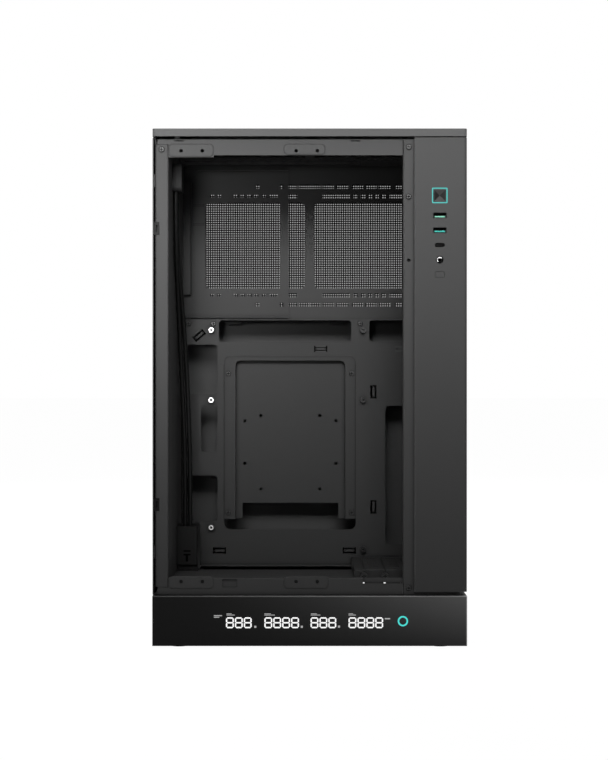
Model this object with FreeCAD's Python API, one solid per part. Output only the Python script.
"""Micro ATX tower case, seen from its open glass side.

X runs to the right along the open side, +Y runs into the case, +Z is up.
The origin is at the middle of the footprint, on the floor. All sizes are in millimetres.
"""
import FreeCAD, Part
import math
import os

from FreeCAD import Vector

# Overall size of the case
CASE_WIDTH = 296.0
CASE_DEPTH = 231.0
CASE_HEIGHT = 489.0
FOOT_HEIGHT = 2.5
BASE_HEIGHT = 47.0
LID_HEIGHT = 7.2
LID_GAP = 1.8

# Stock and fits
SHEET = 1.0
BEND = 0.6
SKIN = 2.5
FIT = 0.3
TOUCH = 0.05

# Where the steel chassis stands inside the outer covers
PANEL_RECESS = 5.5
PANEL_DEPTH = 11.5
LEFT_SPACE = 13.7
RIGHT_SPACE = 6.0
FLOOR_RISE = 12.0
REAR_BAY = 43.5
BRACKET_BAY = 10.5

# Rails and pillars around the open side
RAIL_HEIGHT = 15.4
FLOOR_LIP = 4.8
RAIL_LIFT = 0.7
PILLAR_REACH = 12.6
PILLAR_RETURN = 8.0
PILLAR_TRIM = 5.5
COVER_STRIP = 49.8
COVER_RIB_DROP = 110.0
RIGHT_PILLAR = 10.2
PAD_EMBOSS = 0.8
PAD_SLOPE = 1.3
PAD_WIDTH = 42.9
PAD_HEIGHT = 12.8
PAD_HOLE = 1.7
MIDDLE_PAD = 108.5
HOOK_SLOT_START = 50.6
HOOK_SLOT_WIDTH = 14.4

# Board pattern of the tray: hole columns and rows from the first column and the lowest row
BOARD_SIDE_GAP = 31.3
BOARD_FLOOR_GAP = 16.2
BOARD_COLUMN_2 = 157.48
BOARD_COLUMN_3 = 203.2
BOARD_ROW_OFFSET = 22.86
BOARD_ROW_2 = 154.94
BOARD_ROW_3 = 227.33
STANDOFF_HEIGHT = 6.35
STANDOFF_RADIUS = 3.0
STANDOFF_BORE = 1.3
TRAY_MARGIN = 11.3
TRAY_FLANGE = 14.0
CABLE_SIDE = 23.0
CABLE_CORNER = 56.3
CABLE_SLOT = 39.7
LOOP_LENGTH = 13.6
LOOP_HEIGHT = 6.4
LOOP_STRIP = 2.4
LOOP_LIFT = 1.5

# Fan patterns of the upper bracket and the roof
FAN_SIDE = 27.25
FAN_EDGE = 36.13
FAN_BAR = 9.8
FAN_ROW_INNER = 7.15
FAN_ROW_OUTER = 17.15
FAN_SLOT = 4.5
ROOF_FAN_ENDS = 112.1
ROOF_RIB = 3.3

# Drive plate
DRIVE_WIDTH = 136.4
DRIVE_HEIGHT = 169.0
DRIVE_SINK = 10.0
DRIVE_FLANGE = 11.7
DRIVE_TOP_FLANGE = 4.6
SMALL_DRIVE_X = 61.72
SMALL_DRIVE_Z = 76.6
LARGE_DRIVE_X = 95.25
LARGE_DRIVE_Z = 44.45
DRIVE_HOLE = 1.75

# Power supply bracket
SUPPLY_WIDTH = 111.0
SUPPLY_LIFT = 2.6
SUPPLY_DROP = 3.94
SUPPLY_STEP = 8.0
SUPPLY_STRIP = 8.0

# Expansion slots in the floor
SLOT_PITCH = 20.32
SLOT_LEAD = 35.8
SLOT_REACH = 37.0
SLOT_RISE = 8.5
SLOT_COVER_WIDTH = 18.4
SLOT_COVER_SHEET = 0.9
VENT_PITCH = 10.5
SLOT_TAB = 13.6
SLOT_WINDOW = 13.0
IO_WINDOW_Y = 44.45
IO_BOARD_LEAD = 10.5
IO_SLOT_GAP = 5.98
IO_WINDOW_GAP = 4.5

# Base and display
FASCIA = 3.0
FASCIA_BEVEL = 1.1
DECK_RIM_LEFT = 24.0
DECK_RIM_RIGHT = 12.0
DECK_RIM_NEAR = 21.0
EXIT_WIDTH = 220.0
EXIT_HEIGHT = 32.0
FOOT_RADIUS = 9.0
FOOT_SEAT = 1.5
FOOT_INSET_X = 24.0
FOOT_INSET_Y = 20.0
FOOT_POST = 11.5
DIGIT_HEIGHT = 10.3
DIGIT_PITCH = 8.37
DIGIT_BASELINE = 16.7
DISPLAY_BOARD = 1.6

# Control strip
PORT_PITCH = 13.9
PORT_LEAD = 18.8
BUTTON_SIZE = 12.4
BUTTON_DROP = 53.9
BUTTON_TRAVEL = 1.2
RING_WIDTH = 1.35
RESET_WIDTH = 8.8
RESET_HEIGHT = 5.0
RESET_TRAVEL = 0.8
USB_A_WIDTH = 12.8
USB_A_HEIGHT = 5.4
USB_A_DEPTH = 17.0
USB_C_WIDTH = 8.9
USB_C_HEIGHT = 3.2
JACK_RADIUS = 3.3
JACK_BORE = 1.78
BOARD_SHEET = 1.6

# Screws and clips
SCREW_HEAD = 2.8
SCREW_HEAD_HEIGHT = 1.6
SCREW_RADIUS = 1.5
SCREW_CLEARANCE = 0.2
NUT_DEPTH = 5.0
THUMB_RADIUS = 3.4
THUMB_LENGTH = 7.0
CLIP_LENGTH = 12.4
CLIP_HEIGHT = 3.6
CLIP_DEPTH = 7.0
STUD_RADIUS = 2.2
STUD_LENGTH = 6.0

# Mains inlet and its leads
INLET_WIDTH = 21.0
INLET_DEPTH = 40.0
INLET_HEIGHT = 38.0
INLET_LIFT = 7.0
INLET_TO_TRAY = 27.5
LEAD_RADIUS = 2.2
PLUG_THICKNESS = 9.0
PLUG_DEPTH = 26.0
PLUG_HEIGHT = 27.0

# Vents
VENT_WIDTH = 258.0
VENT_HEIGHT = 134.0
VENT_COLUMNS = 4
VENT_ROWS = 30
LID_SLOTS = 44

# Planes that the pieces share
LEFT = -CASE_WIDTH / 2
RIGHT = CASE_WIDTH / 2
NEAR = -CASE_DEPTH / 2
FAR = CASE_DEPTH / 2
BASE_TOP = FOOT_HEIGHT + BASE_HEIGHT
LID_BOTTOM = CASE_HEIGHT - LID_HEIGHT
ROOF_TOP = LID_BOTTOM - LID_GAP
ROOF = ROOF_TOP - SHEET
FRAME_NEAR = NEAR + PANEL_RECESS
FRAME_FAR = FAR - PANEL_DEPTH
WALL_LEFT = LEFT + LEFT_SPACE + SHEET
WALL_RIGHT = RIGHT - RIGHT_SPACE - SHEET
FLOOR_TOP = BASE_TOP + FLOOR_RISE
TRAY_NEAR = FRAME_FAR - REAR_BAY - SHEET
TRAY_FAR = TRAY_NEAR + SHEET
BRACKET_NEAR = FRAME_FAR - BRACKET_BAY - SHEET
BRACKET_FAR = BRACKET_NEAR + SHEET
SKIRT_NEAR = NEAR + FASCIA
PILLAR_LEFT_EDGE = WALL_LEFT - PILLAR_REACH
COVER_EDGE = RIGHT - COVER_STRIP
PILLAR_EDGE = COVER_EDGE - RIGHT_PILLAR
BOARD_X = WALL_LEFT + BOARD_SIDE_GAP
BOARD_Z = FLOOR_TOP + BOARD_FLOOR_GAP
TRAY_TOP = BOARD_Z + BOARD_ROW_3 + TRAY_MARGIN
FAN_WINDOW = (WALL_RIGHT - WALL_LEFT - FAN_BAR) / 2 - FAN_SIDE
FAN_WINDOW_HEIGHT = ROOF - TRAY_TOP - 2 * FAN_EDGE
ROOF_WINDOW_DEPTH = BRACKET_NEAR - FRAME_NEAR - ROOF_FAN_ENDS
COVER_MIDDLE = (COVER_EDGE + RIGHT) / 2 - 0.8
BUTTON_Z = ROOF_TOP - BUTTON_DROP
FAN_MIDDLE_Z = (TRAY_TOP + ROOF) / 2 - 2.3
ROOF_FAN_Y = (FRAME_NEAR + BRACKET_NEAR) / 2 - 11.0
DRIVE_LEFT = BOARD_X + 13.2
DRIVE_TOP = BOARD_Z + BOARD_ROW_3 - 26.9
DRIVE_CENTRE = DRIVE_LEFT + DRIVE_WIDTH / 2 + 0.4
DRIVE_FACE = TRAY_FAR + 0.5
DRIVE_BACK = DRIVE_FACE + DRIVE_SINK
SLOT_X = PILLAR_EDGE - SLOT_LEAD
SLOT_TOP = FLOOR_TOP + SLOT_RISE
SLOT_FAR = TRAY_NEAR - 21.5
SLOT_NEAR = FRAME_NEAR + SLOT_REACH
SLOT_COUNT = int((WALL_RIGHT - SLOT_X + SLOT_COVER_WIDTH / 2) // SLOT_PITCH)
IO_WINDOW_START = BOARD_X - IO_BOARD_LEAD
IO_WINDOW_END = SLOT_X - IO_SLOT_GAP
SLOTS = [SLOT_X + SLOT_PITCH * n for n in range(SLOT_COUNT)]
INLET_NEAR = TRAY_NEAR - INLET_TO_TRAY - INLET_DEPTH
INLET_BOTTOM = FLOOR_TOP + INLET_LIFT
INLET_TOP = INLET_BOTTOM + INLET_HEIGHT


def at(plane, u, v, w):
    """The point (u, v) of a plane named by its two axes, at w along the third axis."""
    if plane == "xy":
        return Vector(u, v, w)
    if plane == "xz":
        return Vector(u, w, v)
    return Vector(w, u, v)


def box(x0, x1, y0, y1, z0, z1):
    """A block between two corners."""
    return Part.makeBox(x1 - x0, y1 - y0, z1 - z0, Vector(x0, y0, z0))


def prism(plane, points, start, end):
    """A flat outline carried from start to end along the third axis."""
    corners = [at(plane, u, v, start) for u, v in points]
    face = Part.Face(Part.makePolygon(corners + corners[:1]))
    return face.extrude(at(plane, 0, 0, end - start))


def outline(plane, u0, u1, v0, v1, radius, level):
    """The wire of a rectangle with round corners, which its shorter side limits."""
    radius = min(radius, 0.49 * (u1 - u0), 0.49 * (v1 - v0))
    edges = []
    corners = [(u1 - radius, v0 + radius, -90), (u1 - radius, v1 - radius, 0),
               (u0 + radius, v1 - radius, 90), (u0 + radius, v0 + radius, 180)]
    arcs = []
    for u, v, first in corners:
        spots = []
        for turn in (first, first + 45, first + 90):
            angle = math.radians(turn)
            spots.append(at(plane, u + radius * math.cos(angle), v + radius * math.sin(angle), level))
        arcs.append(spots)
    for n, spots in enumerate(arcs):
        edges.append(Part.Arc(*spots).toShape())
        edges.append(Part.LineSegment(spots[2], arcs[(n + 1) % 4][0]).toShape())
    return Part.Wire(edges)


def rounded(plane, u0, u1, v0, v1, radius, start, end):
    """A rectangle with round corners, carried from start to end along the third axis."""
    return Part.Face(outline(plane, u0, u1, v0, v1, radius, start)).extrude(at(plane, 0, 0, end - start))


def disc(plane, u, v, radius, start, end):
    """A round bar from start to end along the third axis."""
    return Part.makeCylinder(radius, end - start, at(plane, u, v, start), at(plane, 0, 0, 1))


def folded(plane, points, start, end, bend=BEND, thickness=SHEET):
    """A bent sheet: its centre line with a round bend at each corner, carried from start to end."""
    radius = bend + thickness / 2
    paths = []
    for offset in (thickness / 2, -thickness / 2):
        edges = []
        last = None
        for n, (u, v) in enumerate(points):
            before = unit(points[n - 1], (u, v)) if n else unit((u, v), points[1])
            after = unit((u, v), points[n + 1]) if n + 1 < len(points) else before
            turn = math.atan2(before[0] * after[1] - before[1] * after[0],
                              before[0] * after[0] + before[1] * after[1])
            if abs(turn) < 1e-6:
                spots = [(u - before[1] * offset, v + before[0] * offset)]
            else:
                spots = bend_spots((u, v), before, after, turn, radius, offset)
            if last:
                edges.append(Part.LineSegment(at(plane, *last, start), at(plane, *spots[0], start)).toShape())
            if len(spots) == 3:
                edges.append(Part.Arc(*[at(plane, *spot, start) for spot in spots]).toShape())
            last = spots[-1]
        paths.append(Part.Wire(edges))
    ends = [path.OrderedVertexes for path in paths]
    caps = [Part.LineSegment(ends[0][n].Point, ends[1][n].Point).toShape() for n in (0, -1)]
    outline = Part.Wire(Part.__sortEdges__(paths[0].Edges + paths[1].Edges + caps))
    return Part.Face(outline).extrude(at(plane, 0, 0, end - start))


def unit(first, second):
    """The direction from one flat point to another."""
    length = math.hypot(second[0] - first[0], second[1] - first[1])
    return (second[0] - first[0]) / length, (second[1] - first[1]) / length


def bend_spots(corner, before, after, turn, radius, offset):
    """Start, middle and end of a bend's arc on one side of the sheet."""
    side = math.copysign(1.0, turn)
    reach = radius * math.tan(abs(turn) / 2)
    start = (corner[0] - before[0] * reach, corner[1] - before[1] * reach)
    centre = (start[0] - before[1] * side * radius, start[1] + before[0] * side * radius)
    outward = unit(centre, corner)
    arm = radius - side * offset
    return [(start[0] - before[1] * offset, start[1] + before[0] * offset),
            (centre[0] + outward[0] * arm, centre[1] + outward[1] * arm),
            (corner[0] + after[0] * reach - after[1] * offset, corner[1] + after[1] * reach + after[0] * offset)]


def group(solids):
    """Like pieces kept together as separate solids."""
    return Part.makeCompound(solids)


def base_skirt():
    """Moulded base ring: low outer wall, a deck under the chassis, foot posts and a cable exit."""
    shell = rounded("xy", LEFT, RIGHT, SKIRT_NEAR, FAR, 2.0, FOOT_HEIGHT, BASE_TOP)
    deck = BASE_TOP - SKIN
    cavity = box(LEFT + SKIN, RIGHT - SKIN, SKIRT_NEAR + SKIN, FAR - SKIN, FOOT_HEIGHT, deck)
    opening = rounded("xy", LEFT + DECK_RIM_LEFT, RIGHT - DECK_RIM_RIGHT, SKIRT_NEAR + DECK_RIM_NEAR,
                      BRACKET_NEAR, 8.0, deck, BASE_TOP)
    exit_z = FOOT_HEIGHT + (BASE_HEIGHT - SKIN - EXIT_HEIGHT) / 2
    cable_exit = rounded("xz", -EXIT_WIDTH / 2, EXIT_WIDTH / 2, exit_z, exit_z + EXIT_HEIGHT, 6.0,
                         FAR - SKIN, FAR)
    window = display_window(SKIRT_NEAR, SKIRT_NEAR + SKIN)
    inlet_way = box(WALL_LEFT - 2, LEFT + DECK_RIM_LEFT + 1, INLET_NEAR + 2, INLET_NEAR + INLET_DEPTH + 2,
                    deck, BASE_TOP)
    shell = shell.cut([cavity, opening, cable_exit, window, inlet_way])
    posts = []
    pockets = []
    for x, y in foot_places():
        posts.append(disc("xy", x, y, FOOT_POST, FOOT_HEIGHT, deck))
        pockets.append(disc("xy", x, y, FOOT_RADIUS + FIT, FOOT_HEIGHT, FOOT_HEIGHT + FOOT_SEAT))
    ribs = [box(LEFT + SKIN, LEFT + DECK_RIM_LEFT, y - 1, y + 1, FOOT_HEIGHT + 12, deck) for y in (-60, -30, 60)]
    return shell.fuse(posts + ribs).cut(pockets).removeSplitter()


def foot_places():
    """Centres of the four feet."""
    return [(x, y) for x in (LEFT + FOOT_INSET_X, RIGHT - FOOT_INSET_X)
            for y in (SKIRT_NEAR + FOOT_INSET_Y, FAR - FOOT_INSET_Y)]


def foot(x, y):
    """Round rubber foot with a shallow hollow for its screw."""
    pad = disc("xy", x, y, FOOT_RADIUS, 0, FOOT_HEIGHT + FOOT_SEAT)
    rim = [edge for edge in pad.Edges if abs(edge.CenterOfMass.z) < TOUCH]
    hollow = disc("xy", x, y, FOOT_RADIUS / 3, 0, FOOT_HEIGHT / 2)
    return pad.makeChamfer(0.5, rim).cut(hollow)


def digit_groups():
    """Left edge and number of digits of each readout in the display."""
    return [(-78.7, 3), (-42.6, 4), (0.8, 3), (36.5, 4)]


def display_window(start, end):
    """The opening for the light modules in the base wall."""
    first = digit_groups()[0][0]
    last, count = digit_groups()[-1]
    middle = FOOT_HEIGHT + DIGIT_BASELINE + DIGIT_HEIGHT / 2
    return rounded("xz", first - 12, last + count * DIGIT_PITCH + 24, middle - 10, middle + 12, 3.0, start, end)


def display_fascia():
    """Gloss plate across the near side of the base, with a bevelled top edge."""
    profile = [(NEAR, FOOT_HEIGHT), (SKIRT_NEAR, FOOT_HEIGHT), (SKIRT_NEAR, BASE_TOP),
               (NEAR + FASCIA_BEVEL, BASE_TOP), (NEAR, BASE_TOP - FASCIA_BEVEL)]
    return prism("yz", profile, LEFT, RIGHT)


def display_board():
    """Circuit board behind the fascia with one light module for each readout."""
    near = SKIRT_NEAR + SKIN
    z0 = FOOT_HEIGHT + DIGIT_BASELINE
    first = digit_groups()[0][0]
    last, count = digit_groups()[-1]
    board = box(first - 18, last + count * DIGIT_PITCH + 30, near, near + DISPLAY_BOARD, z0 - 10, z0 + 23)
    modules = [box(x - 1, x + count * DIGIT_PITCH + 1, SKIRT_NEAR + FIT, near, z0 - 2, z0 + DIGIT_HEIGHT + 4)
               for x, count in digit_groups()]
    plug = box(last, last + 16, near + DISPLAY_BOARD, near + DISPLAY_BOARD + 6, z0, z0 + 7)
    return board.fuse(modules + [plug])


def pad(x0, x1, z0, z1):
    """Raised pad on a rail, pressed out with sloping edges."""
    slope = PAD_SLOPE
    foot_wire = outline("xz", x0, x1, z0, z1, 3.0 + slope, FRAME_NEAR)
    top_wire = outline("xz", x0 + slope, x1 - slope, z0 + slope, z1 - slope, 3.0, FRAME_NEAR - PAD_EMBOSS)
    return Part.makeLoft([foot_wire, top_wire], True, True)


def pad_holes(x0, z):
    """The two screw holes of a pad that starts at x0."""
    return [disc("xz", x0 + offset, z, PAD_HOLE, FRAME_NEAR - PAD_EMBOSS, FRAME_NEAR + SHEET)
            for offset in (12.0, 32.0)]


def pad_starts():
    """Left edges of the corner pad and the middle pad on each rail."""
    return (WALL_LEFT + TOUCH, WALL_LEFT + MIDDLE_PAD)


def floor_panel():
    """Chassis floor: rail with a folded lip on the near side, windows for the ports and slots."""
    level = FLOOR_TOP - SHEET / 2
    lip = FLOOR_TOP + FLOOR_LIP
    near = FRAME_NEAR + SHEET / 2
    profile = [(near, BASE_TOP + RAIL_LIFT), (near, lip - SHEET / 2), (near + 2 * SHEET, lip - SHEET / 2),
               (near + 2 * SHEET, level), (FRAME_FAR - SHEET / 2, level), (FRAME_FAR - SHEET / 2, FLOOR_TOP + 9)]
    sheet = folded("yz", profile, PILLAR_LEFT_EDGE + 2.4, WALL_RIGHT, bend=0.3)
    pads = [pad(x, x + PAD_WIDTH, lip - SHEET - PAD_HEIGHT + 3, lip - SHEET + 2.4) for x in pad_starts()]
    holes = [hole for x in pad_starts() for hole in pad_holes(x, FLOOR_TOP + 1)]
    far_past = FRAME_FAR + 1
    hook = WALL_LEFT + HOOK_SLOT_START
    cuts = [
        box(LEFT, WALL_LEFT, FRAME_NEAR - 1, far_past, BASE_TOP + 7.6, lip + 9),
        box(LEFT, WALL_LEFT, FRAME_NEAR + SHEET, far_past, BASE_TOP, lip + 9),
        box(PILLAR_EDGE - FIT, RIGHT, FRAME_NEAR - 1, FRAME_NEAR + PILLAR_RETURN + 3, BASE_TOP, lip + 9),
        box(SLOT_X - 2.0, RIGHT, FRAME_NEAR - 1, FRAME_NEAR + 2.6, FLOOR_TOP - 0.8, lip + 1),
        box(SLOT_X - 2.0, PILLAR_EDGE - 2.0, FRAME_NEAR + SHEET, SLOT_NEAR, FLOOR_TOP - SHEET, FLOOR_TOP),
        box(WALL_RIGHT - 12, RIGHT, FRAME_FAR - 2, far_past, BASE_TOP, FLOOR_TOP + 10),
        io_window(FLOOR_TOP - SHEET, FLOOR_TOP),
        slot_bay(FLOOR_TOP - SHEET, FLOOR_TOP),
        inlet_bore(FLOOR_TOP - SHEET, FLOOR_TOP),
        rounded("xz", hook, hook + HOOK_SLOT_WIDTH, FLOOR_TOP - 4.6, FLOOR_TOP + 3.4, 1.2,
                FRAME_NEAR, FRAME_NEAR + SHEET),
    ]
    keeper = box(hook - 1, hook + HOOK_SLOT_WIDTH + 1, FRAME_NEAR + SHEET, FRAME_NEAR + 2 * SHEET,
                 FLOOR_TOP - 6.0, FLOOR_TOP + 1.0)
    return sheet.fuse(pads + [keeper]).cut(cuts + holes).removeSplitter()


def io_window(z0, z1):
    """The standard port window under the board's edge."""
    y1 = TRAY_NEAR - IO_WINDOW_GAP
    return rounded("xy", IO_WINDOW_START, IO_WINDOW_END, y1 - IO_WINDOW_Y, y1, 2.0, z0, z1)


def slot_bay(z0, z1):
    """The opening in the floor below the slot frame."""
    return box(SLOT_X - 7, WALL_RIGHT - 4, SLOT_NEAR - THUMB_LENGTH - 7, SLOT_FAR + 8, z0, z1)


def inlet_bore(z0, z1):
    """The opening in the floor for the mains inlet."""
    return box(WALL_LEFT + 1, WALL_LEFT + INLET_WIDTH - 1, INLET_NEAR + 8, INLET_NEAR + 36, z0, z1)


def fan_slots(plane, middle_u, middle_v, window, start, end):
    """Screw slots above and below a pair of fan windows, mirrored about the middle, as far as the walls."""
    inner = [(0.6, 11.0), (13.4, 25.4), (28.0, 41.3), (44.6, 56.4), (59.0, 70.5), (72.9, 85.2), (89.9, 102.0)]
    outer = [(13.4, 42.2), (46.5, 50.8), (54.0, 58.7), (61.5, 65.8), (68.7, 72.9), (75.8, 80.2), (84.5, 110.0)]
    slots = []
    for side in (-1, 1):
        for spans, rise in ((inner, FAN_ROW_OUTER), (outer, FAN_ROW_INNER)):
            for u0, u1 in spans:
                low = middle_u + min(side * u0, side * u1)
                high = middle_u + max(side * u0, side * u1)
                if low < WALL_LEFT + 2 or high > WALL_RIGHT - 2:
                    continue
                for row in (-window / 2 - rise, window / 2 + rise):
                    v = middle_v + row
                    slots.append(prism(plane, [(low, v - FAN_SLOT / 2), (high, v - FAN_SLOT / 2),
                                               (high, v + FAN_SLOT / 2), (low, v + FAN_SLOT / 2)], start, end))
    return slots


def fan_windows(plane, middle_u, middle_v, window, start, end):
    """The two air openings of a fan pair."""
    v0 = middle_v - window / 2
    v1 = middle_v + window / 2
    corner = min(3.0, 0.3 * window)
    windows = []
    for side in (-1, 1):
        near = middle_u + side * FAN_BAR / 2
        far = near + side * FAN_WINDOW
        windows.append(prism(plane, [(near, v0 + corner), (near + side * corner, v0),
                                     (far - side * corner, v0), (far, v0 + corner),
                                     (far, v1 - corner), (far - side * corner, v1),
                                     (near + side * corner, v1), (near, v1 - corner)], start, end))
    return windows


def roof_panel():
    """Chassis roof: near rail, fan openings and slots, far flange."""
    level = ROOF_TOP - SHEET / 2
    near = FRAME_NEAR + SHEET / 2
    far = FRAME_FAR - SHEET / 2
    profile = [(near, ROOF_TOP - RAIL_HEIGHT), (near, level), (far, level), (far, ROOF_TOP - 9)]
    sheet = folded("yz", profile, PILLAR_LEFT_EDGE + 2.4, WALL_RIGHT)
    rail_foot = ROOF_TOP - RAIL_HEIGHT
    first, second = pad_starts()
    pads = [pad(first, first + PAD_WIDTH, rail_foot - 2.0, rail_foot + 11.0),
            pad(second, second + PAD_WIDTH - 3, rail_foot, rail_foot + 11.0)]
    backing = box(first, first + PAD_WIDTH, FRAME_NEAR, FRAME_NEAR + SHEET, rail_foot - 2.0, rail_foot + 2.0)
    holes = [hole for x in pad_starts() for hole in pad_holes(x, rail_foot + 4.1)]
    cuts = [
        box(LEFT, WALL_LEFT, FRAME_NEAR - 1, FRAME_NEAR + 3, rail_foot - 3, ROOF_TOP - PILLAR_TRIM + FIT),
        box(LEFT, WALL_LEFT, FRAME_FAR - 2, FRAME_FAR + 1, rail_foot, ROOF),
        box(PILLAR_EDGE - FIT, RIGHT, FRAME_NEAR - 1, FRAME_NEAR + 3, rail_foot - 3, ROOF),
        box(WALL_RIGHT - 12, RIGHT, FRAME_FAR - 2, FRAME_FAR + 1, rail_foot, ROOF),
    ]
    cuts += fan_windows("xy", fan_middle(), ROOF_FAN_Y, ROOF_WINDOW_DEPTH, ROOF, ROOF_TOP)
    cuts += fan_slots("xy", fan_middle(), ROOF_FAN_Y, ROOF_WINDOW_DEPTH, ROOF, ROOF_TOP)
    rib_y = ROOF_FAN_Y + ROOF_WINDOW_DEPTH / 2 + FAN_ROW_OUTER + FAN_SLOT / 2 + FIT
    rib = box(WALL_LEFT + 5, PILLAR_EDGE - SLOT_LEAD, rib_y, rib_y + 2 * SHEET, ROOF - ROOF_RIB, ROOF)
    cuts += [box(x, x + 9, FRAME_NEAR, FRAME_NEAR + SHEET, ROOF_TOP - 2.6, ROOF - 0.2) for x in clip_starts()]
    return sheet.fuse(pads + [backing, rib]).cut(cuts + holes).removeSplitter()


def fan_middle():
    """Middle of the fan pair, half-way between the side walls less the pillar's lead."""
    return (WALL_LEFT + WALL_RIGHT) / 2 - 3.85


def clip_starts():
    """Left edges of the two clip slots in the roof's rail."""
    return (WALL_LEFT + 5.5, WALL_LEFT + 172.0)


def left_wall():
    """Left chassis wall with the near pillar and the far flange folded outwards."""
    x = WALL_LEFT - SHEET / 2
    edge = PILLAR_LEFT_EDGE + SHEET / 2
    near = FRAME_NEAR + SHEET / 2
    far = FRAME_FAR - SHEET / 2
    profile = [(edge, near + PILLAR_RETURN), (edge, near), (x, near), (x, far), (edge, far),
               (edge, far - PILLAR_RETURN)]
    sheet = folded("xy", profile, BASE_TOP, ROOF)
    cuts = stud_holes() + [
        box(LEFT, WALL_LEFT + 1, FRAME_NEAR - 1, FRAME_NEAR + 2.9, BASE_TOP, BASE_TOP + 8.0),
        box(LEFT, WALL_LEFT - SHEET, FRAME_NEAR - 1, FRAME_NEAR + 12, BASE_TOP, BASE_TOP + 8.0),
        box(LEFT, WALL_LEFT + 1, FRAME_NEAR - 1, FRAME_NEAR + 3, ROOF_TOP - PILLAR_TRIM, ROOF),
        disc("xz", PILLAR_LEFT_EDGE + 6.4, ROOF_TOP - 10.0, SCREW_RADIUS + SCREW_CLEARANCE,
             FRAME_NEAR - 1, FRAME_NEAR + 2),
    ]
    cuts += [box(PILLAR_LEFT_EDGE - 1, PILLAR_LEFT_EDGE + 4.2, FRAME_NEAR - 1, FRAME_NEAR + PILLAR_RETURN + 2,
                 z - CLIP_LENGTH / 2, z + CLIP_LENGTH / 2) for z in side_clip_heights()]
    return sheet.cut(cuts)


def side_clip_heights():
    """Heights of the two panel clips on the left pillar."""
    return (BASE_TOP + 85.6, ROOF_TOP - 84.5)


def right_wall():
    """Right chassis wall with a wide near flange that carries the control strip."""
    x = WALL_RIGHT + SHEET / 2
    near = FRAME_NEAR + SHEET / 2
    far = FRAME_FAR - SHEET / 2
    edge = PILLAR_EDGE + SHEET / 2
    profile = [(edge, near + PILLAR_RETURN), (edge, near), (x, near), (x, far), (x - 11, far)]
    sheet = folded("xy", profile, BASE_TOP, ROOF)
    opening = rounded("xz", COVER_EDGE + 12, WALL_RIGHT - 6, reset_height() - 12, BUTTON_Z + 14, 4.0,
                      FRAME_NEAR - 1, FRAME_NEAR + 2)
    cuts = [box(LEFT, WALL_RIGHT - 2, FRAME_NEAR - 1, FRAME_NEAR + 12, BASE_TOP, BASE_TOP + RAIL_LIFT), opening]
    cuts += [disc("xz", PILLAR_EDGE + 5.4, z, SCREW_RADIUS + SCREW_CLEARANCE, FRAME_NEAR - 1, FRAME_NEAR + 2)
             for z in pillar_screw_heights()]
    nut_z = ROOF_TOP - 114.5
    nut = disc("xz", PILLAR_EDGE + 5.4, nut_z, 3.0, FRAME_NEAR + SHEET, FRAME_NEAR + NUT_DEPTH + SHEET)
    bore = disc("xz", PILLAR_EDGE + 5.4, nut_z, SCREW_RADIUS + SCREW_CLEARANCE, FRAME_NEAR - 1,
                FRAME_NEAR + NUT_DEPTH)
    return sheet.cut(cuts + stud_holes()).fuse(nut).cut(bore).removeSplitter()


def pillar_screw_heights():
    """Heights of the screws in the right pillar."""
    return (BASE_TOP + 7.0, ROOF_TOP - 54.5, ROOF_TOP - 7.6)


def board_holes():
    """Places of the board's standoffs on the tray."""
    columns = (BOARD_X, BOARD_X + BOARD_COLUMN_2, BOARD_X + BOARD_COLUMN_3)
    rows = (BOARD_Z, BOARD_Z + BOARD_ROW_OFFSET, BOARD_Z + BOARD_ROW_2, BOARD_Z + BOARD_ROW_3)
    places = [(columns[0], rows[1]), (columns[0], rows[2]), (columns[0], rows[3]),
              (columns[1], rows[0]), (columns[1], rows[2]), (columns[1], rows[3]),
              (columns[2], rows[0]), (columns[2], rows[2])]
    return [place for place in places if place[0] < WALL_RIGHT - STANDOFF_RADIUS - SHEET]


def tray_cutouts():
    """Cable openings of the tray, as left, right, bottom, top and corner radius."""
    top_row = BOARD_Z + BOARD_ROW_3
    right = WALL_RIGHT - CABLE_SIDE
    return [
        (BOARD_X + 7.7, DRIVE_LEFT + DRIVE_WIDTH - 4.5, top_row - 12.0, TRAY_TOP - SHEET, 3.5),
        (right - CABLE_CORNER, right, top_row - 12.0, TRAY_TOP - SHEET, 3.5),
        (WALL_LEFT + 5.3, BOARD_X + 6.3, top_row - 66.2, top_row - 15.0, 4.0),
        (BOARD_X - 11.0, BOARD_X + 6.3, BOARD_Z + 100.6, BOARD_Z + 149.6, 4.0),
        (WALL_LEFT + 5.9, BOARD_X + 6.3, BOARD_Z + 28.9, BOARD_Z + 76.7, 4.0),
        (right - CABLE_SLOT, right, BOARD_Z + 5.6, BOARD_Z + 149.0, 5.0),
    ]


def drive_window(grow):
    """The tray's opening for the drive plate, as left, right, bottom and top."""
    return (DRIVE_LEFT - FIT - grow, DRIVE_LEFT + DRIVE_WIDTH + FIT + grow,
            DRIVE_TOP - DRIVE_HEIGHT - 10.9 - grow, DRIVE_TOP + FIT + grow)


def tie_loops():
    """Places of the pressed cable loops on the tray, with the lean of each in degrees."""
    low = BOARD_Z - 1.3
    high = BOARD_Z + 207.9
    post = BOARD_X + BOARD_COLUMN_2
    return [(BOARD_X - 12.6, BOARD_Z + 221.7, -40), (DRIVE_LEFT + 100.2, high, 0), (post + 39.8, high, 0),
            (BOARD_X + 8.3, low, 0), (post - 14.4, low, 0),
            (post + 10.6, BOARD_Z + 163.2, 90), (post + 10.6, BOARD_Z + 43.8, 90)]


def placed(shape, x, z, lean):
    """A loop's shape turned by its lean and moved to its place."""
    shape.rotate(Vector(0, 0, 0), Vector(0, 1, 0), lean)
    shape.translate(Vector(x, 0, z))
    return shape


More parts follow.
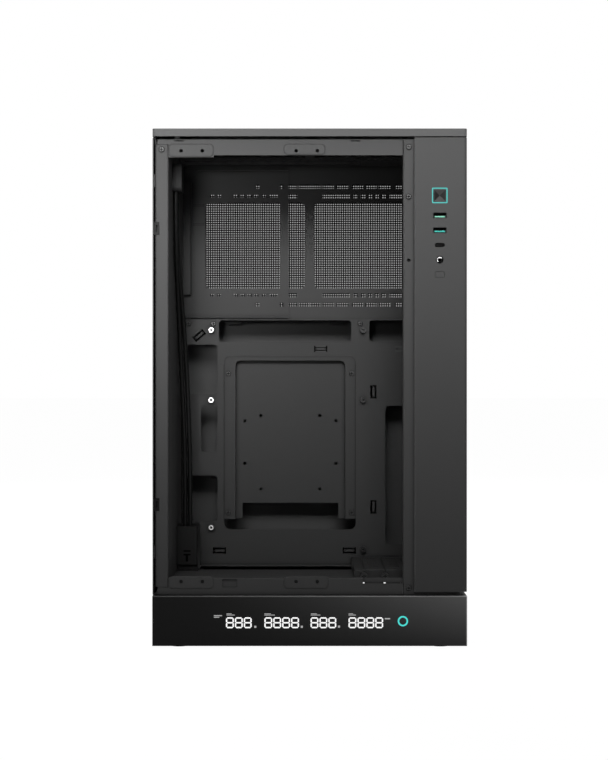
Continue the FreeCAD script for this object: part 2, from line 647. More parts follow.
def loop_hole(x, z, lean):
    """The slot that a cable loop is pressed out of."""
    half = LOOP_LENGTH / 2
    hole = rounded("xz", -half, half, -LOOP_HEIGHT / 2, LOOP_HEIGHT / 2, 0.8, TRAY_NEAR, TRAY_FAR)
    return placed(hole, x, z, lean)


def loop_strip(x, z, lean):
    """The raised strip of a cable loop, bent out towards the board."""
    half = LOOP_LENGTH / 2
    y = TRAY_NEAR + SHEET / 2
    raised = y - LOOP_LIFT
    strip = folded("xy", [(-half - 1, y), (1.4 - half, y), (2.8 - half, raised), (half - 2.8, raised),
                          (half - 1.4, y), (half + 1, y)], -LOOP_STRIP / 2, LOOP_STRIP / 2, bend=0.2)
    return placed(strip, x, z, lean)


def motherboard_tray():
    """Board tray with side flanges, a shelf behind its top edge and lips that carry the drive plate."""
    y = TRAY_NEAR + SHEET / 2
    left = WALL_LEFT + SHEET / 2
    right = WALL_RIGHT - SHEET / 2
    sheet = folded("xy", [(left, y + TRAY_FLANGE), (left, y), (right, y), (right, y + TRAY_FLANGE)],
                   FLOOR_TOP, TRAY_TOP)
    shelf = box(WALL_LEFT, WALL_RIGHT, y, BRACKET_FAR, TRAY_TOP - SHEET, TRAY_TOP)
    x0, x1, z0, z1 = drive_window(0)
    cuts = [rounded("xz", x0, x1, z0, z1, 7.0, TRAY_NEAR, TRAY_FAR)]
    cuts += [rounded("xz", u0, u1, v0, v1, r, TRAY_NEAR, TRAY_FAR) for u0, u1, v0, v1, r in tray_cutouts()]
    cuts += [disc("xz", x, z, SCREW_RADIUS, TRAY_NEAR, TRAY_FAR) for x, z in board_holes()]
    cuts += [disc("xz", x, z, SCREW_RADIUS + SCREW_CLEARANCE, TRAY_NEAR, TRAY_FAR) for x, z in tray_screws()]
    cuts += [box(x, x + 16, BRACKET_NEAR, BRACKET_FAR, TRAY_TOP - SHEET, TRAY_TOP) for x in bracket_tabs()]
    loops = [loop for loop in tie_loops() if loop[0] + LOOP_LENGTH < right]
    cuts += [loop_hole(*loop) for loop in loops]
    sheet = sheet.fuse(shelf).cut(cuts).fuse([loop_strip(*loop) for loop in loops])
    depth = DRIVE_FACE + SHEET
    lips = []
    for edge, side in ((x0, 1), (x1, -1)):
        points = [(edge - side * 5, y), (edge - side * SHEET / 2, y),
                  (edge - side * SHEET / 2, depth + SHEET / 2), (edge + side * 8.5, depth + SHEET / 2)]
        lips.append(folded("xy", points, DRIVE_TOP - DRIVE_HEIGHT + 2, DRIVE_TOP - 8, bend=0.2))
    holes = [disc("xz", px, pz, SCREW_RADIUS, depth, depth + SHEET) for px, pz in drive_screws()]
    return sheet.fuse(lips).cut(holes).removeSplitter()


def tray_screws():
    """Places of the screws along the tray's top edge."""
    z = TRAY_TOP - 4.5
    return [(WALL_LEFT + 7.5, z), (BOARD_X + 2.0, z), (BOARD_X + BOARD_COLUMN_2 - 3.1, z)]


def drive_screws():
    """Places of the four screws that hold the drive plate."""
    x0 = DRIVE_LEFT + 4.4
    x1 = DRIVE_LEFT + DRIVE_WIDTH - 2.6 - SCREW_HEAD / 2
    return [(x, z) for x in (x0, x1) for z in (DRIVE_TOP - DRIVE_HEIGHT + 6.4, DRIVE_TOP - 18.0)]


def drive_plate():
    """Drive plate with a sunk middle, side flanges and two legs at its foot."""
    left = DRIVE_LEFT
    right = DRIVE_LEFT + DRIVE_WIDTH
    bottom = DRIVE_TOP - DRIVE_HEIGHT
    inner = (left + DRIVE_FLANGE, right - DRIVE_FLANGE + 1)
    roof = DRIVE_TOP - DRIVE_TOP_FLANGE
    flange = rounded("xz", left, right, bottom - 9, DRIVE_TOP, 6.0, DRIVE_FACE, DRIVE_FACE + SHEET)
    pan = rounded("xz", inner[0] - SHEET, inner[1] + SHEET, bottom - 9, roof + SHEET, 6.5,
                  DRIVE_FACE, DRIVE_BACK + SHEET)
    hollow = rounded("xz", inner[0], inner[1], bottom - 20, roof, 5.5, DRIVE_FACE, DRIVE_BACK)
    below = box(left - 1, right + 1, DRIVE_FACE, DRIVE_BACK + SHEET, bottom - 30, bottom)
    leg = 7.0
    notch = box(inner[0] + leg, inner[1] - leg, DRIVE_FACE, DRIVE_BACK + SHEET, bottom - 1, bottom + 16)
    holes = [disc("xz", x, z, DRIVE_HOLE, DRIVE_BACK, DRIVE_BACK + SHEET) for x, z in drive_mount_holes()]
    holes += [disc("xz", x, z, SCREW_RADIUS + SCREW_CLEARANCE, DRIVE_FACE, DRIVE_FACE + SHEET)
              for x, z in drive_screws()]
    return flange.fuse(pan).cut([hollow, below, notch] + holes).removeSplitter()


def drive_mount_holes():
    """Screw holes for a small drive and a large drive, both about the plate's middle."""
    middle = DRIVE_TOP - 100.2
    large = DRIVE_TOP - 89.6
    places = [(DRIVE_CENTRE + x * SMALL_DRIVE_X / 2, middle + z * SMALL_DRIVE_Z / 2)
              for x in (-1, 1) for z in (-1, 1)]
    places += [(DRIVE_CENTRE + x * LARGE_DRIVE_X / 2, large + z * LARGE_DRIVE_Z / 2)
               for x in (-1, 1) for z in (-1, 1)]
    return places


def bracket_tabs():
    """Left edges of the two tabs under the fan bracket."""
    return (fan_middle() - 88.4, fan_middle() + 20.9)


def fan_bracket():
    """Wall for a pair of fans between the tray's shelf and the roof."""
    y = BRACKET_NEAR + SHEET / 2
    left = WALL_LEFT + SHEET / 2
    right = WALL_RIGHT - SHEET / 2
    sheet = folded("xy", [(left, y + 7), (left, y), (right, y), (right, y + 7)], TRAY_TOP, ROOF)
    tabs = [box(x + FIT, x + 16 - FIT, BRACKET_NEAR + TOUCH, BRACKET_FAR - TOUCH, TRAY_TOP - 4, TRAY_TOP)
            for x in bracket_tabs()]
    cuts = fan_windows("xz", fan_middle(), FAN_MIDDLE_Z, FAN_WINDOW_HEIGHT, BRACKET_NEAR, BRACKET_FAR)
    cuts += fan_slots("xz", fan_middle(), FAN_MIDDLE_Z, FAN_WINDOW_HEIGHT, BRACKET_NEAR, BRACKET_FAR)
    return sheet.fuse(tabs).cut(cuts).removeSplitter()


def supply_bracket():
    """Power supply bracket: a plate on the fan bracket with lips, slots and a stepped strip."""
    x0 = WALL_LEFT
    x1 = x0 + SUPPLY_WIDTH
    z0 = TRAY_TOP + SUPPLY_LIFT
    z1 = ROOF - SUPPLY_DROP
    near = BRACKET_NEAR - SHEET
    plate = folded("yz", [(near - 3, z0 + SHEET / 2), (near + SHEET / 2, z0 + SHEET / 2),
                          (near + SHEET / 2, z1 - SHEET / 2), (near - 3, z1 - SHEET / 2)], x0, x1)
    corner = box(x0 - 1, x0 + 15, near - 6, near, z1 - 4, z1 + 1)
    half = FAN_WINDOW_HEIGHT / 2
    window = box(x0 + 23.1, x1 - 9.1, near, near + SHEET, FAN_MIDDLE_Z - half, FAN_MIDDLE_Z + half)
    strip_y = near - SUPPLY_STEP
    strip = folded("xy", [(x0, strip_y + SHEET / 2), (x0 + SUPPLY_STRIP, strip_y + SHEET / 2),
                          (x0 + SUPPLY_STRIP, near + SHEET / 2)], z0 + 24.2, z1 - 13.4)
    slots = [(x0 + 9.5, x0 + 22.0, z, z + 3.2) for z in (FAN_MIDDLE_Z + half - 24.2, FAN_MIDDLE_Z + half - 4.2)]
    fan_x = fan_middle()
    for row in (-half - FAN_ROW_INNER, half + FAN_ROW_INNER):
        z = FAN_MIDDLE_Z + row - 1.5
        slots += [(fan_x + u0, fan_x + u1, z, z + 3.0)
                  for u0, u1 in ((-105.3, -101.0), (-97.9, -93.7), (-81.3, -53.2), (-50.6, -33.8))]
    for row in (-half - FAN_ROW_OUTER, half + FAN_ROW_OUTER):
        z = FAN_MIDDLE_Z + row - 2.2
        slots += [(fan_x + u - 2.4, fan_x + u + 2.4, z, z + 4.4) for u in (-55.6, -29.3)]
    cuts = [box(u0, u1, near, near + SHEET, v0, v1) for u0, u1, v0, v1 in slots]
    return plate.cut([corner]).fuse(strip).cut(cuts + [window]).removeSplitter()


def slot_frame():
    """Raised frame in the floor with one window for each expansion slot."""
    x0 = SLOT_X - 9.2
    far = TRAY_NEAR
    top = folded("yz", [(SLOT_NEAR + SHEET / 2, FLOOR_TOP), (SLOT_NEAR + SHEET / 2, SLOT_TOP - SHEET / 2),
                        (far, SLOT_TOP - SHEET / 2)], x0, WALL_RIGHT)
    side = box(x0, x0 + SHEET, SLOT_NEAR + SHEET, far, FLOOR_TOP, SLOT_TOP - SHEET / 2)
    rest = box(WALL_RIGHT - 3, WALL_RIGHT, SLOT_NEAR + SHEET, far, FLOOR_TOP, SLOT_TOP - SHEET / 2)
    cuts = [box(x - SLOT_WINDOW / 2, x + SLOT_WINDOW / 2, SLOT_NEAR + 8, SLOT_FAR - 8, SLOT_TOP - SHEET, SLOT_TOP)
            for x in cover_middles()]
    cuts += [disc("xz", x, screw_level(), SCREW_RADIUS + SCREW_CLEARANCE, SLOT_NEAR, SLOT_NEAR + SHEET)
             for x in SLOTS]
    return top.fuse([side, rest]).cut(cuts).removeSplitter()


def cover_middles():
    """Middle of each slot cover, beside its screw."""
    return [x + SLOT_COVER_WIDTH / 2 + 0.6 for x in SLOTS]


def screw_level():
    """Height of the slot screws."""
    return SLOT_TOP - 6.0


def slot_cover(x):
    """Vented cover of one slot, with the tab that its thumbscrew holds."""
    half = SLOT_COVER_WIDTH / 2
    level = SLOT_TOP + SLOT_COVER_SHEET / 2
    tab = SLOT_NEAR - SLOT_COVER_SHEET / 2
    sheet = folded("yz", [(tab, SLOT_TOP - SLOT_TAB), (tab, level), (SLOT_FAR, level)],
                   x - half, x + half, thickness=SLOT_COVER_SHEET)
    tongue = box(x - half + 4, x + half - 4, SLOT_FAR, SLOT_FAR + 6, SLOT_TOP, SLOT_TOP + SLOT_COVER_SHEET)
    vents = []
    first = SLOT_NEAR + 16
    for n in range(int((SLOT_FAR - first) // VENT_PITCH)):
        y = first + n * VENT_PITCH
        vents.append(prism("xy", [(x - 5, y), (x + 5, y + 4), (x + 5, y + 8), (x - 5, y + 4)],
                           SLOT_TOP - 1, SLOT_TOP + SLOT_COVER_SHEET + 1))
    bites = [disc("xz", u, screw_level(), SCREW_RADIUS + SCREW_CLEARANCE, SLOT_NEAR - 2, SLOT_NEAR)
             for u in (x - half - 0.6, x - half - 0.6 + SLOT_PITCH)]
    return sheet.fuse(tongue).cut(vents + bites).removeSplitter()


def thumbscrews():
    """One thumbscrew at each slot, with a collar and a cross recess."""
    screws = []
    tab = SLOT_NEAR - SLOT_COVER_SHEET
    for x in SLOTS:
        head = disc("xz", x, screw_level(), THUMB_RADIUS, tab - THUMB_LENGTH, tab)
        groove = disc("xz", x, screw_level(), THUMB_RADIUS, tab - 2.6, tab - 1.6).cut(
            disc("xz", x, screw_level(), THUMB_RADIUS - 0.8, tab - 2.6, tab - 1.6))
        shank = disc("xz", x, screw_level(), SCREW_RADIUS, tab, SLOT_NEAR + 3)
        recess = cross("xz", x, screw_level(), 2.0, tab - THUMB_LENGTH, tab - THUMB_LENGTH + 1.5)
        screws.append(head.cut(groove).fuse(shank).cut(recess))
    return group(screws)


def cross(plane, u, v, reach, start, end):
    """The cross recess of a screw head."""
    arm = reach / 3
    first = prism(plane, [(u - reach, v - arm), (u + reach, v - arm), (u + reach, v + arm), (u - reach, v + arm)],
                  start, end)
    second = prism(plane, [(u - arm, v - reach), (u + arm, v - reach), (u + arm, v + reach), (u - arm, v + reach)],
                   start, end)
    return first.fuse(second)


def pan_screw(x, z, face, length):
    """A screw that faces the open side, with its bevelled head on the given face."""
    profile = [(0, -SCREW_HEAD_HEIGHT), (SCREW_HEAD * 0.7, -SCREW_HEAD_HEIGHT), (SCREW_HEAD, -SCREW_HEAD_HEIGHT / 3),
               (SCREW_HEAD, 0), (SCREW_RADIUS, 0), (SCREW_RADIUS, length), (0, length)]
    corners = [Vector(x + u, face + v, z) for u, v in profile]
    section = Part.Face(Part.makePolygon(corners + corners[:1]))
    return section.revolve(Vector(x, 0, z), Vector(0, 1, 0), 360)


def frame_screws():
    """Screws of the pillars and of the tray's top edge."""
    screws = [pan_screw(PILLAR_LEFT_EDGE + 6.4, ROOF_TOP - 10.0, FRAME_NEAR, 4)]
    screws += [pan_screw(PILLAR_EDGE + 5.4, z, FRAME_NEAR, 4) for z in pillar_screw_heights()]
    screws += [pan_screw(x, z, TRAY_NEAR, 4) for x, z in tray_screws()]
    return group(screws)


def drive_plate_screws():
    """Four screws that hold the drive plate to the tray's lips."""
    return group([pan_screw(x, z, DRIVE_FACE, 2 * SHEET) for x, z in drive_screws()])


def board_standoffs():
    """Threaded posts that carry the main board."""
    posts = []
    for x, z in board_holes():
        post = disc("xz", x, z, STANDOFF_RADIUS, TRAY_NEAR - STANDOFF_HEIGHT, TRAY_NEAR)
        stud = disc("xz", x, z, SCREW_RADIUS, TRAY_NEAR, TRAY_FAR)
        bore = disc("xz", x, z, STANDOFF_BORE, TRAY_NEAR - STANDOFF_HEIGHT, TRAY_NEAR - 1)
        posts.append(post.fuse(stud).cut(bore))
    return group(posts)


def control_cover():
    """Outer cover of the control strip and the right side, moulded in one piece."""
    z0 = BASE_TOP + 3.9
    z1 = ROOF_TOP + 0.7
    outer = rounded("xy", COVER_EDGE, RIGHT, NEAR, FAR, 3.0, z0, z1)
    inside = rounded("xy", COVER_EDGE - 20, RIGHT - SKIN, NEAR + SKIN, FAR + 20, 1.0, z0, z1)
    trim = box(COVER_EDGE - 1, COVER_EDGE + 3, NEAR + SKIN, FAR + 1, z0, z1)
    bevel = prism("xy", [(COVER_EDGE, NEAR), (COVER_EDGE + 1.2, NEAR), (COVER_EDGE, NEAR + 1.2)], z0, z1)
    square = box(COVER_EDGE, COVER_EDGE + 4, NEAR, NEAR + SKIN, z0, z1)
    shell = outer.fuse(square).cut([inside, trim, bevel])
    ribs = [box(COVER_EDGE + 10, RIGHT - SKIN, NEAR + SKIN, FRAME_NEAR, z, z + 2)
            for z in (z0 + 20, reset_height() - COVER_RIB_DROP, z1 - 24)]
    ribs += [box(WALL_RIGHT + SHEET, RIGHT - SKIN, y, y + 2, z, z + 10)
             for y in (-60, 70) for z in (z0 + 40, z1 - 60)]
    return shell.fuse(ribs).cut(control_openings()).removeSplitter()


def control_openings():
    """Openings of the control strip for its buttons, lights and sockets."""
    x = COVER_MIDDLE
    near = NEAR - 1
    back = NEAR + SKIN
    ring = BUTTON_SIZE / 2 + RING_WIDTH
    openings = [rounded("xz", x - ring, x + ring, BUTTON_Z - ring, BUTTON_Z + ring, 1.8, near, back)]
    for z in usb_heights():
        openings.append(box(x - USB_A_WIDTH / 2, x + USB_A_WIDTH / 2, near, back,
                            z - USB_A_HEIGHT / 2, z + USB_A_HEIGHT / 2))
    openings.append(rounded("xz", x - USB_C_WIDTH / 2 - 0.4, x + USB_C_WIDTH / 2 + 0.4,
                            usb_c_height() - USB_C_HEIGHT / 2 - 0.4, usb_c_height() + USB_C_HEIGHT / 2 + 0.4,
                            USB_C_HEIGHT / 2 + 0.39, near, back))
    openings.append(disc("xz", x, jack_height(), JACK_RADIUS + FIT, near, back))
    openings.append(rounded("xz", x - RESET_WIDTH / 2 - FIT, x + RESET_WIDTH / 2 + FIT,
                            reset_height() - RESET_HEIGHT / 2 - FIT, reset_height() + RESET_HEIGHT / 2 + FIT,
                            1.2, near, back))
    return openings


def usb_heights():
    """Middle heights of the two USB-A sockets."""
    first = BUTTON_Z - PORT_LEAD
    return (first, first - PORT_PITCH)


def usb_c_height():
    """Middle height of the USB-C socket."""
    return usb_heights()[1] - PORT_PITCH


def jack_height():
    """Middle height of the audio jack."""
    return usb_c_height() - PORT_PITCH


def reset_height():
    """Middle height of the small button."""
    return jack_height() - PORT_PITCH


def power_button():
    """Square power button with four sloping facets and a stem to its switch."""
    x = COVER_MIDDLE
    half = BUTTON_SIZE / 2 - FIT
    front = NEAR + 0.4
    back = NEAR + SKIN + 2.2
    cap = rounded("xz", x - half, x + half, BUTTON_Z - half, BUTTON_Z + half, 1.2, front, back)
    reach = half - 0.8
    corners = [at("xz", x + sx * reach, BUTTON_Z + sz * reach, front)
               for sx, sz in ((-1, -1), (1, -1), (1, 1), (-1, 1))]
    tip = at("xz", x, BUTTON_Z, front + 1.2)
    faces = [Part.Face(Part.makePolygon(corners + corners[:1]))]
    for n in range(4):
        faces.append(Part.Face(Part.makePolygon([corners[n], corners[(n + 1) % 4], tip, corners[n]])))
    hollow = Part.makeSolid(Part.makeShell(faces))
    stem = disc("xz", x, BUTTON_Z, 2.0, back, switch_face() - BUTTON_TRAVEL - FIT)
    flange = box(x - half - 2.2, x + half + 2.2, NEAR + SKIN + FIT, back, BUTTON_Z - 3, BUTTON_Z + 3)
    return cap.cut(hollow).fuse([stem, flange]).removeSplitter()


def switch_face():
    """Near face of the two push switches on the control board."""
    return control_board_face() - 3.5


def control_board_face():
    """Near face of the control board."""
    return FRAME_NEAR + 9.5


def power_ring():
    """Light ring around the power button."""
    x = COVER_MIDDLE
    outer = BUTTON_SIZE / 2 + RING_WIDTH - TOUCH
    inner = BUTTON_SIZE / 2
    ring = rounded("xz", x - outer, x + outer, BUTTON_Z - outer, BUTTON_Z + outer, 1.7, NEAR + 0.1, NEAR + SKIN)
    hole = rounded("xz", x - inner, x + inner, BUTTON_Z - inner, BUTTON_Z + inner, 1.3, NEAR, NEAR + SKIN)
    return ring.cut(hole)


def reset_button():
    """Small pill-shaped button with a stem to its switch."""
    x = COVER_MIDDLE
    z = reset_height()
    back = NEAR + SKIN + 1.0
    cap = rounded("xz", x - RESET_WIDTH / 2, x + RESET_WIDTH / 2, z - RESET_HEIGHT / 2, z + RESET_HEIGHT / 2,
                  1.0, NEAR + 0.2, back)
    stem = disc("xz", x, z, 1.5, back, switch_face() - RESET_TRAVEL - FIT)
    return cap.fuse(stem).removeSplitter()


def push_switch(z):
    """Small push switch on the control board."""
    x = COVER_MIDDLE
    body = box(x - 3, x + 3, switch_face() + 1, control_board_face(), z - 3, z + 3)
    plunger = disc("xz", x, z, 1.7, switch_face() + 0.2, switch_face() + 1)
    return body.fuse(plunger)


def control_board():
    """Circuit board that carries the sockets and switches of the control strip."""
    face = control_board_face()
    board = box(COVER_EDGE + 13, WALL_RIGHT - 8, face, face + BOARD_SHEET, reset_height() - 11, BUTTON_Z + 13)
    holes = [disc("xz", x, z, SCREW_RADIUS, face, face + BOARD_SHEET)
             for x in (COVER_EDGE + 17, WALL_RIGHT - 12) for z in (reset_height() - 7, BUTTON_Z + 9)]
    return board.cut(holes)


def board_posts():
    """Four spacers between the right wall's near flange and the control board."""
    near = FRAME_NEAR + SHEET
    return group([box(x - 3, x + 3, near, control_board_face(), z - 2, z + 2)
                  for x in (COVER_EDGE + 13.1, WALL_RIGHT - 8.1)
                  for z in (reset_height() - 8, BUTTON_Z + 10)])


def usb_a_socket(z):
    """USB-A shell: an open steel box that reaches the cover's face."""
    x = COVER_MIDDLE
    back = control_board_face()
    wall = 0.35
    outer = box(x - USB_A_WIDTH / 2 + TOUCH, x + USB_A_WIDTH / 2 - TOUCH, NEAR + 0.3, back,
                z - USB_A_HEIGHT / 2 + TOUCH, z + USB_A_HEIGHT / 2 - TOUCH)
    inner = box(x - USB_A_WIDTH / 2 + TOUCH + wall, x + USB_A_WIDTH / 2 - TOUCH - wall, NEAR, back - 1.5,
                z - USB_A_HEIGHT / 2 + TOUCH + wall, z + USB_A_HEIGHT / 2 - TOUCH - wall)
    return outer.cut(inner)


def usb_a_tongue(z):
    """Coloured tongue inside a USB-A shell."""
    x = COVER_MIDDLE
    back = control_board_face() - 1.5
    return box(x - 5.6, x + 5.6, NEAR + 1.2, back, z - 2.0, z - 0.1)


def usb_c_socket():
    """USB-C shell with its middle tongue."""
    x = COVER_MIDDLE
    z = usb_c_height()
    back = control_board_face()
    outer = rounded("xz", x - USB_C_WIDTH / 2, x + USB_C_WIDTH / 2, z - USB_C_HEIGHT / 2, z + USB_C_HEIGHT / 2,
                    USB_C_HEIGHT / 2 - 0.01, NEAR + 0.3, back)
    inner = rounded("xz", x - USB_C_WIDTH / 2 + 0.3, x + USB_C_WIDTH / 2 - 0.3, z - USB_C_HEIGHT / 2 + 0.3,
                    z + USB_C_HEIGHT / 2 - 0.3, USB_C_HEIGHT / 2 - 0.31, NEAR, back - 1)
    tongue = box(x - 3.3, x + 3.3, NEAR + 0.9, back - 1, z - 0.35, z + 0.35)
    return outer.cut(inner).fuse(tongue)


def audio_jack():
    """Audio jack: a collar with a bore, on a square body."""
    x = COVER_MIDDLE
    z = jack_height()
    back = control_board_face()
    collar = disc("xz", x, z, JACK_RADIUS, NEAR + 0.1, NEAR + SKIN + 0.5)
    rim = [edge for edge in collar.Edges if abs(edge.CenterOfMass.y - NEAR - 0.1) < TOUCH]
    collar = collar.makeChamfer(1.0, rim)
    body = box(x - 4.5, x + 4.5, NEAR + SKIN + 0.5, back, z - 4.5, z + 4.5)
    bore = disc("xz", x, z, JACK_BORE, NEAR, NEAR + 14.0)
    return collar.fuse(body).cut(bore)


def left_panel():
    """Plain outer sheet of the left side, on four hooks."""
    z0 = BASE_TOP + RAIL_LIFT
    z1 = ROOF_TOP + 0.7
    near = FRAME_NEAR - 2.5
    far = FAR - PANEL_DEPTH
    sheet = rounded("yz", near, far, z0, z1, 1.5, LEFT, LEFT + SHEET)
    hooks = [box(LEFT + SHEET, PILLAR_LEFT_EDGE, y - 4, y + 4, z - 6, z + 6)
             for y in (FRAME_NEAR + 5, FRAME_FAR - 5) for z in (z0 + 40, z1 - 40)]
    return sheet.fuse(hooks).removeSplitter()


def side_panel():
    """Far side panel: a shallow tray with a vent field, and studs that snap into the chassis."""
    z0 = BASE_TOP + RAIL_LIFT
    z1 = ROOF_TOP + 0.7
    x0 = LEFT + TOUCH
    x1 = RIGHT - SKIN - FIT
    face = box(x0, x1, FAR - SHEET, FAR, z0, z1)
    depth = PANEL_DEPTH - FIT
    rims = [box(x0, x0 + SHEET, FAR - depth, FAR - SHEET, z0, z1),
            box(x1 - SHEET, x1, FAR - depth, FAR - SHEET, z0, z1),
            box(x0, x1, FAR - depth, FAR - SHEET, z0, z0 + SHEET),
            box(x0, x1, FAR - depth, FAR - SHEET, z1 - SHEET, z1)]
    studs = [disc("xz", x, z, STUD_RADIUS, FRAME_FAR - STUD_LENGTH + 3, FAR - SHEET) for x, z in stud_places()]
    vents = []
    pitch_x = VENT_WIDTH / VENT_COLUMNS
    pitch_z = VENT_HEIGHT / VENT_ROWS
    for column in range(VENT_COLUMNS):
        for row in range(VENT_ROWS):
            x = fan_middle() - VENT_WIDTH / 2 + column * pitch_x
            z = FAN_MIDDLE_Z - VENT_HEIGHT / 2 + row * pitch_z
            vents.append(box(x + 1.5, x + pitch_x - 1.5, FAR - SHEET, FAR, z + pitch_z / 4, z + pitch_z * 3 / 4))
    return face.fuse(rims + studs).cut(vents).removeSplitter()


def stud_places():
    """Places of the four studs of the side panel, on the chassis's far flanges."""
    return [(x, z) for x in (PILLAR_LEFT_EDGE + 6.5, WALL_RIGHT - 5.0) for z in (BASE_TOP + 40, ROOF_TOP - 40)]


def stud_holes():
    """Clearance holes for the studs in the far flanges."""
    return [disc("xz", x, z, STUD_RADIUS + FIT, FRAME_FAR - 2, FRAME_FAR + 1) for x, z in stud_places()]


def stud_clips():
    """Sockets in the far flanges that take the side panel's studs."""
    near = FRAME_FAR - SHEET - 5
    clips = []
    for x, z in stud_places():
        block = box(x - 4, x + 4, near, FRAME_FAR - SHEET, z - 5, z + 5)
        clips.append(block.cut(disc("xz", x, z, STUD_RADIUS + FIT, near, FRAME_FAR)))
    return group(clips)


def top_lid():
    """Moulded top cover: a thin rim around a field of air slots, on four pegs."""
    rim = rounded("xy", LEFT, RIGHT, NEAR, FAR, 3.0, LID_BOTTOM, CASE_HEIGHT)
    hollow = rounded("xy", LEFT + SKIN, RIGHT - SKIN, NEAR + SKIN, FAR - SKIN, 1.0, LID_BOTTOM, CASE_HEIGHT - SKIN)
    slots = []
    field = CASE_WIDTH - 44
    pitch = field / LID_SLOTS
    for n in range(LID_SLOTS):
        x = -field / 2 + n * pitch
        for y0, y1 in ((NEAR + 26, -3.0), (3.0, FAR - 26)):
            slots.append(box(x + pitch / 4, x + pitch * 3 / 4, y0, y1, CASE_HEIGHT - SKIN, CASE_HEIGHT))
    pegs = [disc("xy", x, y, 3.0, ROOF_TOP, CASE_HEIGHT - SKIN) for x, y in peg_places()]
    return rim.cut([hollow] + slots).fuse(pegs).removeSplitter()


def peg_places():
    """Places of the lid's four pegs on the roof."""
    return [(x, y) for x in (WALL_LEFT + 8, WALL_RIGHT - 8) for y in (FRAME_NEAR + 6, FRAME_FAR - 6)]


def top_filter():
    """Dust filter frame with its mesh under the lid's slots."""
    z1 = CASE_HEIGHT - SKIN
    z0 = z1 - 1.8
    outer = rounded("xy", LEFT + 12, RIGHT - 12, NEAR + 19, FAR - 23, 4.0, z0, z1)
    return outer.cut(rounded("xy", LEFT + 18, RIGHT - 18, NEAR + 25, FAR - 29, 3.0, z0, z1 - 0.4))


def panel_clips():
    """Spring clips of the open side: two in the roof's rail and two in the left pillar."""
    clips = []
    for z in side_clip_heights():
        block = box(PILLAR_LEFT_EDGE - 0.8, PILLAR_LEFT_EDGE + 4.0, FRAME_NEAR + 0.1, FRAME_NEAR + CLIP_DEPTH,
                    z - CLIP_LENGTH / 2 + 0.1, z + CLIP_LENGTH / 2 - 0.1)
        slot = box(PILLAR_LEFT_EDGE + 0.8, PILLAR_LEFT_EDGE + 2.6, FRAME_NEAR - 1, FRAME_NEAR + 4, z - 3.2, z + 3.2)
        clips.append(block.cut(slot))
    for x in clip_starts():
        block = box(x + 0.1, x + 8.9, FRAME_NEAR + 0.1, FRAME_NEAR + CLIP_DEPTH, ROOF_TOP - 2.5, ROOF - BEND - 0.2)
        slot = box(x + 3, x + 6, FRAME_NEAR - 1, FRAME_NEAR + 4, ROOF_TOP - 2.1, ROOF - 0.7)
        clips.append(block.cut(slot))
    return group(clips)


def inlet_housing():
    """Cover over the mains inlet in the lower left corner, on a short plinth."""
    x0 = WALL_LEFT + TOUCH
    x1 = x0 + INLET_WIDTH
    far = INLET_NEAR + INLET_DEPTH
    case = box(x0, x1, INLET_NEAR, far, INLET_BOTTOM, INLET_TOP)
    corner = [edge for edge in case.Edges
              if abs(edge.CenterOfMass.x - x1) < TOUCH and abs(edge.CenterOfMass.y - INLET_NEAR) < TOUCH]
    case = case.makeFillet(2.0, corner)
    plinth = box(x0, x1, INLET_NEAR + 6, far, FLOOR_TOP, INLET_BOTTOM)
    bore = box(x0 + 1, x1 - 1, INLET_NEAR + 8, INLET_NEAR + 36, FLOOR_TOP, INLET_TOP - 2)
    first, y = lead_exit(0)
    last = lead_exit(1)[0]
    reach = LEAD_RADIUS + FIT
    way = rounded("xy", first - reach, last + reach, y - reach, y + reach, reach - 0.1,
                  INLET_TOP - 4, INLET_TOP + 1)
    return case.fuse(plinth).cut([bore, way]).removeSplitter()


def inlet_socket():
    """Mains inlet that faces down through the floor, with three blades in its hollow."""
    x0 = WALL_LEFT + 1.0 + FIT
    x1 = WALL_LEFT + INLET_WIDTH - 1.0 - FIT
    y0 = INLET_NEAR + 8 + FIT
    y1 = INLET_NEAR + 36 - FIT
    body = box(x0, x1, y0, y1, FLOOR_TOP - 4, FLOOR_TOP + 20)
    flange = box(x0, x1 + 5, y0 - 3, y1 + 3, FLOOR_TOP - 4, FLOOR_TOP - SHEET)
    hollow = box(x0 + 1.8, x1 - 1.8, y0 + 1.8, y1 - 1.8, FLOOR_TOP - 4, FLOOR_TOP + 14)
    middle = (x0 + x1) / 2
    blades = [box(middle + dx - 1, middle + dx + 1, y - 2, y + 2, FLOOR_TOP + 1, FLOOR_TOP + 14)
              for dx, y in ((-1.5, (y0 + y1) / 2), (1.5, y0 + 6.5), (1.5, y1 - 6.5))]
    return body.fuse(flange).cut(hollow).fuse(blades).removeSplitter()


def lead_exit(n):
    """Where a lead leaves the inlet housing's top."""
    x = WALL_LEFT + 8.0 + n * (2 * LEAD_RADIUS + 0.6)
    return x, INLET_NEAR + 9.5


def lead_route(n):
    """Route of one lead from the inlet housing up the left wall to the plug."""
    x, y = lead_exit(n)
    rise = (plug_bottom() - INLET_TOP + 3.0) / 6
    plug_y = plug_near() + 8.0 + n * 9.0
    steps = [(x, y), (x + 0.2, y), (x - 1.2, y - 1.0), (x - 3.6, y - 6.0 + n * 4.0),
             (x - 5.0 - n * 1.4, y - 22.0 + n * 6.0), (WALL_LEFT + 2.8, plug_y), (WALL_LEFT + 2.8, plug_y)]
    return [(u, v, INLET_TOP - 3.0 + rise * k) for k, (u, v) in enumerate(steps)]


def plug_near():
    """Near face of the plug at the leads' upper end."""
    return FRAME_NEAR + 47.0


def plug_bottom():
    """Lower face of the plug."""
    return ROOF_TOP - 44.0


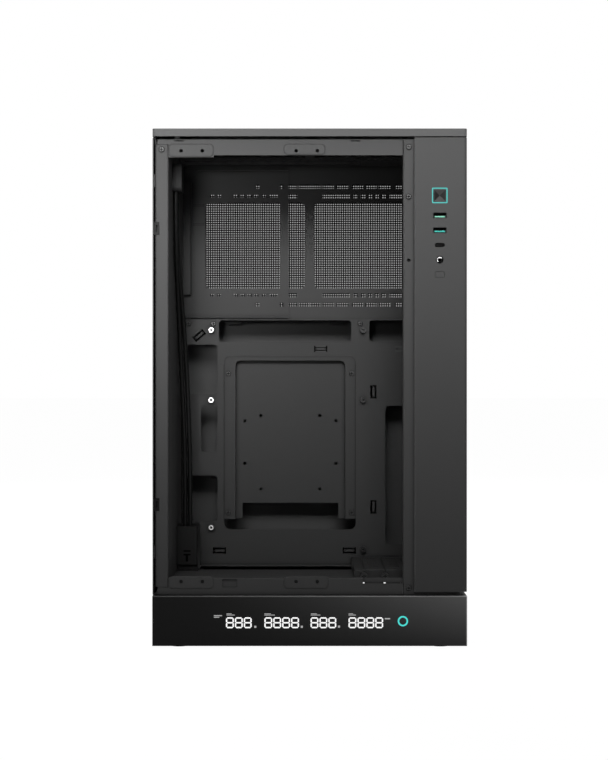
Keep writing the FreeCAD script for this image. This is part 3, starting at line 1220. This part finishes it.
def tube(points, radius):
    """A round lead along straight runs joined by tangent arcs."""
    places = [Vector(*point) for point in points]
    runs = [places[n + 1] - places[n] for n in range(len(places) - 1)]
    edges = []
    last = places[0]
    for n in range(1, len(places) - 1):
        before = Vector(runs[n - 1]).normalize()
        after = Vector(runs[n]).normalize()
        reach = 0.45 * min(runs[n - 1].Length, runs[n].Length)
        start = places[n] - before * reach
        end = places[n] + after * reach
        turn = before.getAngle(after)
        bow = reach * math.tan(turn / 4)
        towards = (after - before).normalize()
        middle = (start + end) / 2
        chord_mid = middle - towards * bow * math.cos(turn / 2)
        edges.append(Part.LineSegment(last, start).toShape())
        edges.append(Part.Arc(start, chord_mid, end).toShape())
        print("lead bend radius", round(reach / math.tan(turn / 2), 1))
        last = end
    edges.append(Part.LineSegment(last, places[-1]).toShape())
    path = Part.Wire(edges)
    section = Part.Wire(Part.Circle(places[0], runs[0], radius).toShape())
    solid = Part.Wire(path).makePipeShell([section], True, False)
    print("lead volume", round(solid.Volume), "section times length", round(math.pi * radius ** 2 * path.Length))
    return solid


def inlet_plug():
    """Flat moulded plug at the upper end of the leads."""
    x0 = WALL_LEFT + TOUCH
    z0 = plug_bottom()
    block = rounded("yz", plug_near(), plug_near() + PLUG_DEPTH, z0, z0 + PLUG_HEIGHT, 4.0, x0, x0 + PLUG_THICKNESS)
    return block


def nodes():
    """Every sub-part of the case by its name."""
    parts = {
        "base_skirt": base_skirt(),
        "display_fascia": display_fascia(),
        "display_board": display_board(),
        "floor_panel": floor_panel(),
        "roof_panel": roof_panel(),
        "left_wall": left_wall(),
        "right_wall": right_wall(),
        "motherboard_tray": motherboard_tray(),
        "drive_plate": drive_plate(),
        "drive_plate_screws": drive_plate_screws(),
        "fan_bracket": fan_bracket(),
        "supply_bracket": supply_bracket(),
        "slot_frame": slot_frame(),
        "thumbscrews": thumbscrews(),
        "frame_screws": frame_screws(),
        "board_standoffs": board_standoffs(),
        "control_cover": control_cover(),
        "power_button": power_button(),
        "power_ring": power_ring(),
        "power_switch": push_switch(BUTTON_Z),
        "reset_button": reset_button(),
        "reset_switch": push_switch(reset_height()),
        "control_board": control_board(),
        "board_posts": board_posts(),
        "usb_c_socket": usb_c_socket(),
        "audio_jack": audio_jack(),
        "left_panel": left_panel(),
        "side_panel": side_panel(),
        "stud_clips": stud_clips(),
        "top_lid": top_lid(),
        "top_filter": top_filter(),
        "panel_clips": panel_clips(),
        "inlet_housing": inlet_housing(),
        "inlet_socket": inlet_socket(),
        "inlet_plug": inlet_plug(),
    }
    for n, (x, y) in enumerate(foot_places()):
        parts[f"foot_{n + 1}"] = foot(x, y)
    for n, x in enumerate(cover_middles()):
        parts[f"slot_cover_{n + 1}"] = slot_cover(x)
    for n, z in enumerate(usb_heights()):
        parts[f"usb_a_socket_{n + 1}"] = usb_a_socket(z)
        parts[f"usb_a_tongue_{n + 1}"] = usb_a_tongue(z)
    for n in (0, 1):
        parts[f"inlet_lead_{n + 1}"] = tube(lead_route(n), LEAD_RADIUS)
    return parts


def main():
    """Writes one STEP file for each sub-part."""
    os.makedirs("parts", exist_ok=True)
    for name, shape in nodes().items():
        shape.exportStep(f"parts/{name}.step")
        print(name, len(shape.Solids), round(shape.Volume), shape.isValid())


main()
